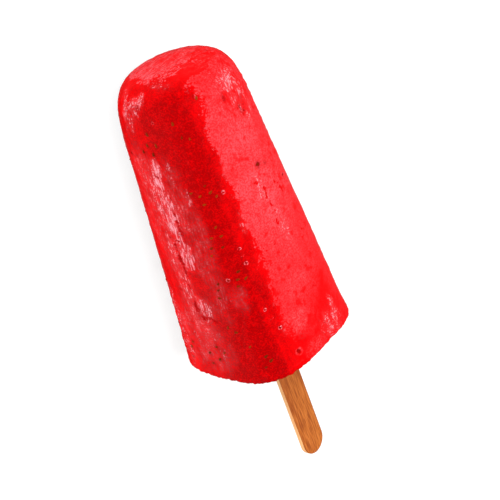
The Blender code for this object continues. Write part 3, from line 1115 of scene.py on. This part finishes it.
    rough = n.maths("ADD", n.between(grain, 0, 1, 0.11, 0.20), n.maths("MULTIPLY", rime_and_glint_share, 0.4))
    n.feed(rough, n.shader.inputs["Roughness"])
    normal = n.bump(streaks, 0.3, 0.00015)
    normal = n.bump(rime_and_glint_share, 0.4, 0.0002, normal)
    normal = n.bump(fine, 0.25, 0.00008, normal)
    n.feed(normal, n.shader.inputs["Normal"])
    n.shader.inputs["IOR"].default_value = 1.31
    n.shader.inputs["Specular IOR Level"].default_value = 0.3
    n.shader.inputs["Subsurface Weight"].default_value = 0.2
    n.shader.inputs["Subsurface Radius"].default_value = (1.0, 0.1, 0.1)
    n.shader.inputs["Subsurface Scale"].default_value = 0.002
    return n.material


def pits_drawn(n, colour, grain):
    """Burst bubbles over a colour: a middle painted dark as shade out to 0.8 radii, a broken pale rim out to 1.5,
    partly rime and partly painted highlight, and a painted glint on the rim's far side."""
    up, round_it = n.attribute("pit_up"), n.attribute("pit_round")
    dark, pale = n.attribute("pit_dark"), n.attribute("pit_pale")
    reach = n.maths("SQRT", n.maths("ADD", n.maths("MULTIPLY", up, up), n.maths("MULTIPLY", round_it, round_it)), 0)
    reach = n.maths("ADD", reach, n.between(grain, 0, 1, -0.15, 0.15))
    rim = n.maths("MULTIPLY", n.smooth_step(reach, 0.70, 1.00), n.smooth_step(reach, 1.60, 1.05))
    rim = n.maths("MULTIPLY", rim, n.between(grain, 0.25, 0.8, 0.0, 1.1))
    colour = n.mix(n.maths("MULTIPLY", rim, pale, clamp=True), colour, RIME_AND_GLINT_PINK)
    colour = n.mix(n.maths("MULTIPLY", n.smooth_step(reach, 0.95, 0.45), dark), colour, HOLLOW_SHADE_RED)
    away_up, away_round = n.maths("SUBTRACT", up, 0.55), n.maths("ADD", round_it, 0.55)
    squares = n.maths("ADD", n.maths("MULTIPLY", away_up, away_up), n.maths("MULTIPLY", away_round, away_round))
    glint = n.maths("MULTIPLY", n.smooth_step(squares, 0.22, 0.05), n.maths("MULTIPLY", pale, 1.5))
    return n.mix(glint, colour, RIME_AND_GLINT_PINK)


def seed_skin():
    """Olive-brown seeds, some greener and some browner, tinged with red where the ice closes over them."""
    n = Nodes("strawberry_seeds")
    tint, bare, top = n.attribute("tint"), n.attribute("bare"), n.attribute("top")
    fine = n.noise(n.place((1, 1, 1)), 3000, 2)
    share = n.maths("ADD", tint, n.between(fine, 0.3, 0.7, -0.3, 0.3), clamp=True)
    colour = n.mix(share, (0.18, 0.009, 0.0004, 1), (0.36, 0.045, 0.0008, 1))
    colour = n.mix(n.maths("MULTIPLY", top, 0.3), colour, (0.12, 0.018, 0.002, 1))
    n.feed(n.mix(bare, (0.42, 0.003, 0.001, 1), colour), n.shader.inputs["Base Color"])
    n.shader.inputs["Specular IOR Level"].default_value = 0.06
    n.shader.inputs["Roughness"].default_value = 0.45
    n.feed(n.bump(fine, 0.2, 0.0001), n.shader.inputs["Normal"])
    return n.material


def birch():
    """Sanded birch: warm tan, fine darker grain lines and pores along it, a painted highlight on its narrow edges,
    and darker towards the ice, partly wetted wood and partly painted shade from the ice."""
    n = Nodes("birch")
    along = n.place((1, 0.04, 1))
    lines = n.noise(along, 900, 4, 0.7)
    bands = n.noise(along, 260, 3)
    pores = n.noise(n.place((1, 0.12, 1)), 2400, 2)
    edge, wet_and_shade = n.attribute("edge"), n.attribute("wet_and_shade")
    colour = n.mix(n.between(bands, 0.35, 0.65), (0.68, 0.195, 0.027, 1), (0.53, 0.125, 0.014, 1))
    colour = n.mix(n.between(lines, 0.49, 0.60, 0, 0.46), colour, (0.34, 0.066, 0.009, 1))
    colour = n.mix(n.between(pores, 0.60, 0.72, 0, 0.5), colour, (0.27, 0.055, 0.010, 1))
    hairs = n.noise(n.place((1, 0.06, 1)), 2100, 2, 0.6)
    colour = n.mix(n.between(hairs, 0.50, 0.64, 0, 0.75), colour, (0.30, 0.055, 0.008, 1))
    colour = n.mix(n.between(hairs, 0.47, 0.35, 0, 0.50), colour, (0.85, 0.26, 0.050, 1))
    colour = n.mix(n.between(edge, 0.0, -1.0, 0.0, 0.35), colour, (0.25, 0.05, 0.010, 1))
    # A painted highlight on the narrow edges.
    pale = n.mix(n.between(lines, 0.4, 0.6), (1.0, 0.58, 0.25, 1), (0.95, 0.42, 0.15, 1))
    colour = n.mix(n.between(edge, 0.35, 0.65), colour, pale)
    # Darker towards the ice: partly wetted wood, partly painted shade from the ice.
    colour = n.mix(n.maths("MULTIPLY", wet_and_shade, 0.60), colour, (0.25, 0.05, 0.010, 1))
    n.feed(colour, n.shader.inputs["Base Color"])
    n.feed(n.between(lines, 0.3, 0.7, 0.5, 0.68), n.shader.inputs["Roughness"])
    n.shader.inputs["Specular IOR Level"].default_value = 0.3
    n.feed(n.bump(lines, 0.35, 0.00015), n.shader.inputs["Normal"])
    return n.material


def pale_floor():
    n = Nodes("pale_floor")
    n.shader.inputs["Base Color"].default_value = (0.52, 0.52, 0.52, 1)
    n.shader.inputs["Roughness"].default_value = 0.8
    n.shader.inputs["Specular IOR Level"].default_value = 0.2
    n.shader.inputs["Emission Color"].default_value = (1, 1, 1, 1)
    n.shader.inputs["Emission Strength"].default_value = 0.60
    return n.material


# ---------------------------------------------------------------- stage, light and camera


FLOOR_SIDE = 6.0
FLOOR_GAP = 0.00005

# Direction of the camera from the bar's middle: degrees to the left of the top face, and up towards the tip.
CAMERA_LEFT = math.radians(40)
CAMERA_UP = math.radians(27.1)
CAMERA_ROLL = math.radians(20.2)
CAMERA_DISTANCE = 600.0
CAMERA_LENS = 140.7
AIM_OFFSET = (9.05, -13.66)  # to the right of, and above, the bar's middle as the camera sees it


def build_floor():
    half = FLOOR_SIDE / 2
    mesh = bpy.data.meshes.new("floor")
    corners = [(-half, -half, -FLOOR_GAP), (half, -half, -FLOOR_GAP), (half, half, -FLOOR_GAP), (-half, half, -FLOOR_GAP)]
    mesh.from_pydata(corners, [], [(0, 1, 2, 3)])
    mesh.materials.append(pale_floor())
    floor = bpy.data.objects.new("floor", mesh)
    bpy.context.scene.collection.objects.link(floor)
    floor.visible_glossy = False
    return floor


def row_direction(direction):
    """A direction in the bar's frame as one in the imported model's."""
    ends = to_row(np.array([[0.0, 0.0, 0.0], direction]))
    return Vector(ends[1] - ends[0]).normalized()


def row_place(place):
    return Vector(to_row(np.array([place], float))[0])


def softbox(name, direction, distance, size, radiance, colour=(1, 1, 1), glossy=True):
    """A rectangular lamp at a distance in metres from the bar's middle, facing it. An even lamp of area A and
    power P has the radiance P / (pi A)."""
    lamp = bpy.data.lights.new(name, "AREA")
    lamp.shape = "RECTANGLE"
    lamp.size, lamp.size_y = size
    lamp.energy = radiance * math.pi * size[0] * size[1]
    lamp.color = colour
    holder = bpy.data.objects.new(name, lamp)
    away = row_direction(np.array(direction, float))
    holder.location = row_place((0, BAR_LENGTH / 2, 0)) + away * distance
    holder.rotation_mode = "QUATERNION"
    holder.rotation_quaternion = away.to_track_quat("Z", "Y")
    holder.visible_camera = False
    holder.visible_glossy = glossy
    bpy.context.scene.collection.objects.link(holder)
    return holder


def build_lights():
    softbox("key", (0.45, -0.40, 0.80), 0.9, (0.8, 0.70), 0.9, glossy=False)
    softbox("side", (0.93, -0.40, 0.25), 0.9, (0.8, 0.60), 0.15, glossy=False)
    softbox("overhead", (-0.10, 0.15, 1.0), 1.2, (1.4, 1.4), 2.0, glossy=False)
    softbox("left", (-1.0, 0.10, 0.22), 0.9, (1.2, 0.4), 2.5, glossy=False)
    softbox("tip", (0.45, 1.0, 0.25), 0.9, (1.0, 0.6), 1.7, glossy=False)
    softbox("right", (1.0, -0.1, 0.35), 0.9, (1.0, 0.6), 1.5, glossy=False)


# Pale cards that the ice mirrors from below: direction, cosines of the outer and inner edge, and radiance.
CARDS = (
    ((-0.75, -0.40, -0.50), 0.69, 0.93, 0.12),
    ((0.57, 0.46, -0.68), 0.70, 0.94, 0.08),
    ((0.88, -0.42, -0.20), 0.80, 0.95, 0.05),
    ((0.57, -0.45, -0.68), 0.93, 0.995, 0.45),
)


DARK_GLOW = 0.02
DIFFUSE_GLOW = 0.30
BACKDROP = 0.95


def build_world():
    """A pale backdrop for the camera, a dim even glow for everything else, and the pale cards."""
    world = bpy.data.worlds.new("studio")
    world.use_nodes = True
    tree = world.node_tree
    tree.nodes.clear()
    add = tree.nodes.new
    looking = add("ShaderNodeTexCoord").outputs["Object"]
    total = add("ShaderNodeValue").outputs[0]
    total.default_value = DARK_GLOW
    for direction, outer, inner, radiance in CARDS:
        dot = add("ShaderNodeVectorMath")
        dot.operation = "DOT_PRODUCT"
        dot.inputs[1].default_value = row_direction(np.array(direction))
        tree.links.new(looking, dot.inputs[0])
        card = add("ShaderNodeMapRange")
        card.interpolation_type = "SMOOTHSTEP"
        for socket, value in zip(card.inputs[1:5], (outer, inner, 0, radiance)):
            socket.default_value = value
        tree.links.new(dot.outputs["Value"], card.inputs[0])
        sum_up = add("ShaderNodeMath")
        tree.links.new(total, sum_up.inputs[0])
        tree.links.new(card.outputs[0], sum_up.inputs[1])
        total = sum_up.outputs[0]
    ray = add("ShaderNodeLightPath")
    for kind, radiance in (("Is Diffuse Ray", DIFFUSE_GLOW), ("Is Camera Ray", BACKDROP)):
        strength = add("ShaderNodeMix")
        strength.inputs[3].default_value = radiance
        tree.links.new(ray.outputs[kind], strength.inputs[0])
        tree.links.new(total, strength.inputs[2])
        total = strength.outputs[0]
    background = add("ShaderNodeBackground")
    output = add("ShaderNodeOutputWorld")
    tree.links.new(total, background.inputs["Strength"])
    tree.links.new(background.outputs[0], output.inputs["Surface"])
    world.cycles.sampling_method = "NONE"
    bpy.context.scene.world = world
    bpy.context.scene.view_settings.view_transform = "Standard"


def build_camera():
    """The camera stands off the bar's upper left, towards its tip, rolled so that the bar leans."""
    toward = row_direction(
        np.array(
            [
                -math.sin(CAMERA_LEFT) * math.cos(CAMERA_UP),
                math.sin(CAMERA_UP),
                math.cos(CAMERA_LEFT) * math.cos(CAMERA_UP),
            ]
        )
    )
    tipward = row_direction(np.array([0.0, 1.0, 0.0]))
    above = (tipward - toward * tipward.dot(toward)).normalized()
    beside = above.cross(toward)
    cos, sin = math.cos(CAMERA_ROLL), math.sin(CAMERA_ROLL)
    screen_right = beside * cos - above * sin
    screen_up = beside * sin + above * cos
    middle = row_place((0, BAR_LENGTH / 2, 0))
    place = middle + toward * CAMERA_DISTANCE * MM
    aim = middle + (screen_right * AIM_OFFSET[0] + screen_up * AIM_OFFSET[1]) * MM
    back = (place - aim).normalized()
    right = (screen_right - back * screen_right.dot(back)).normalized()
    up = back.cross(right)
    lens = bpy.data.cameras.new("camera")
    lens.lens = CAMERA_LENS
    lens.clip_start, lens.clip_end = 0.05, 20
    camera = bpy.data.objects.new("camera", lens)
    bpy.context.scene.collection.objects.link(camera)
    from mathutils import Matrix

    camera.matrix_world = Matrix.Translation(place) @ Matrix((right, up, back)).transposed().to_4x4()
    bpy.context.scene.camera = camera


def main():
    build_camera()
    build_world()
    build_floor()
    build_lights()
    _, skin, shaped = build_ice(strawberry_ice())
    build_seeds(skin, shaped, seed_skin())
    build_stick(birch())


main()
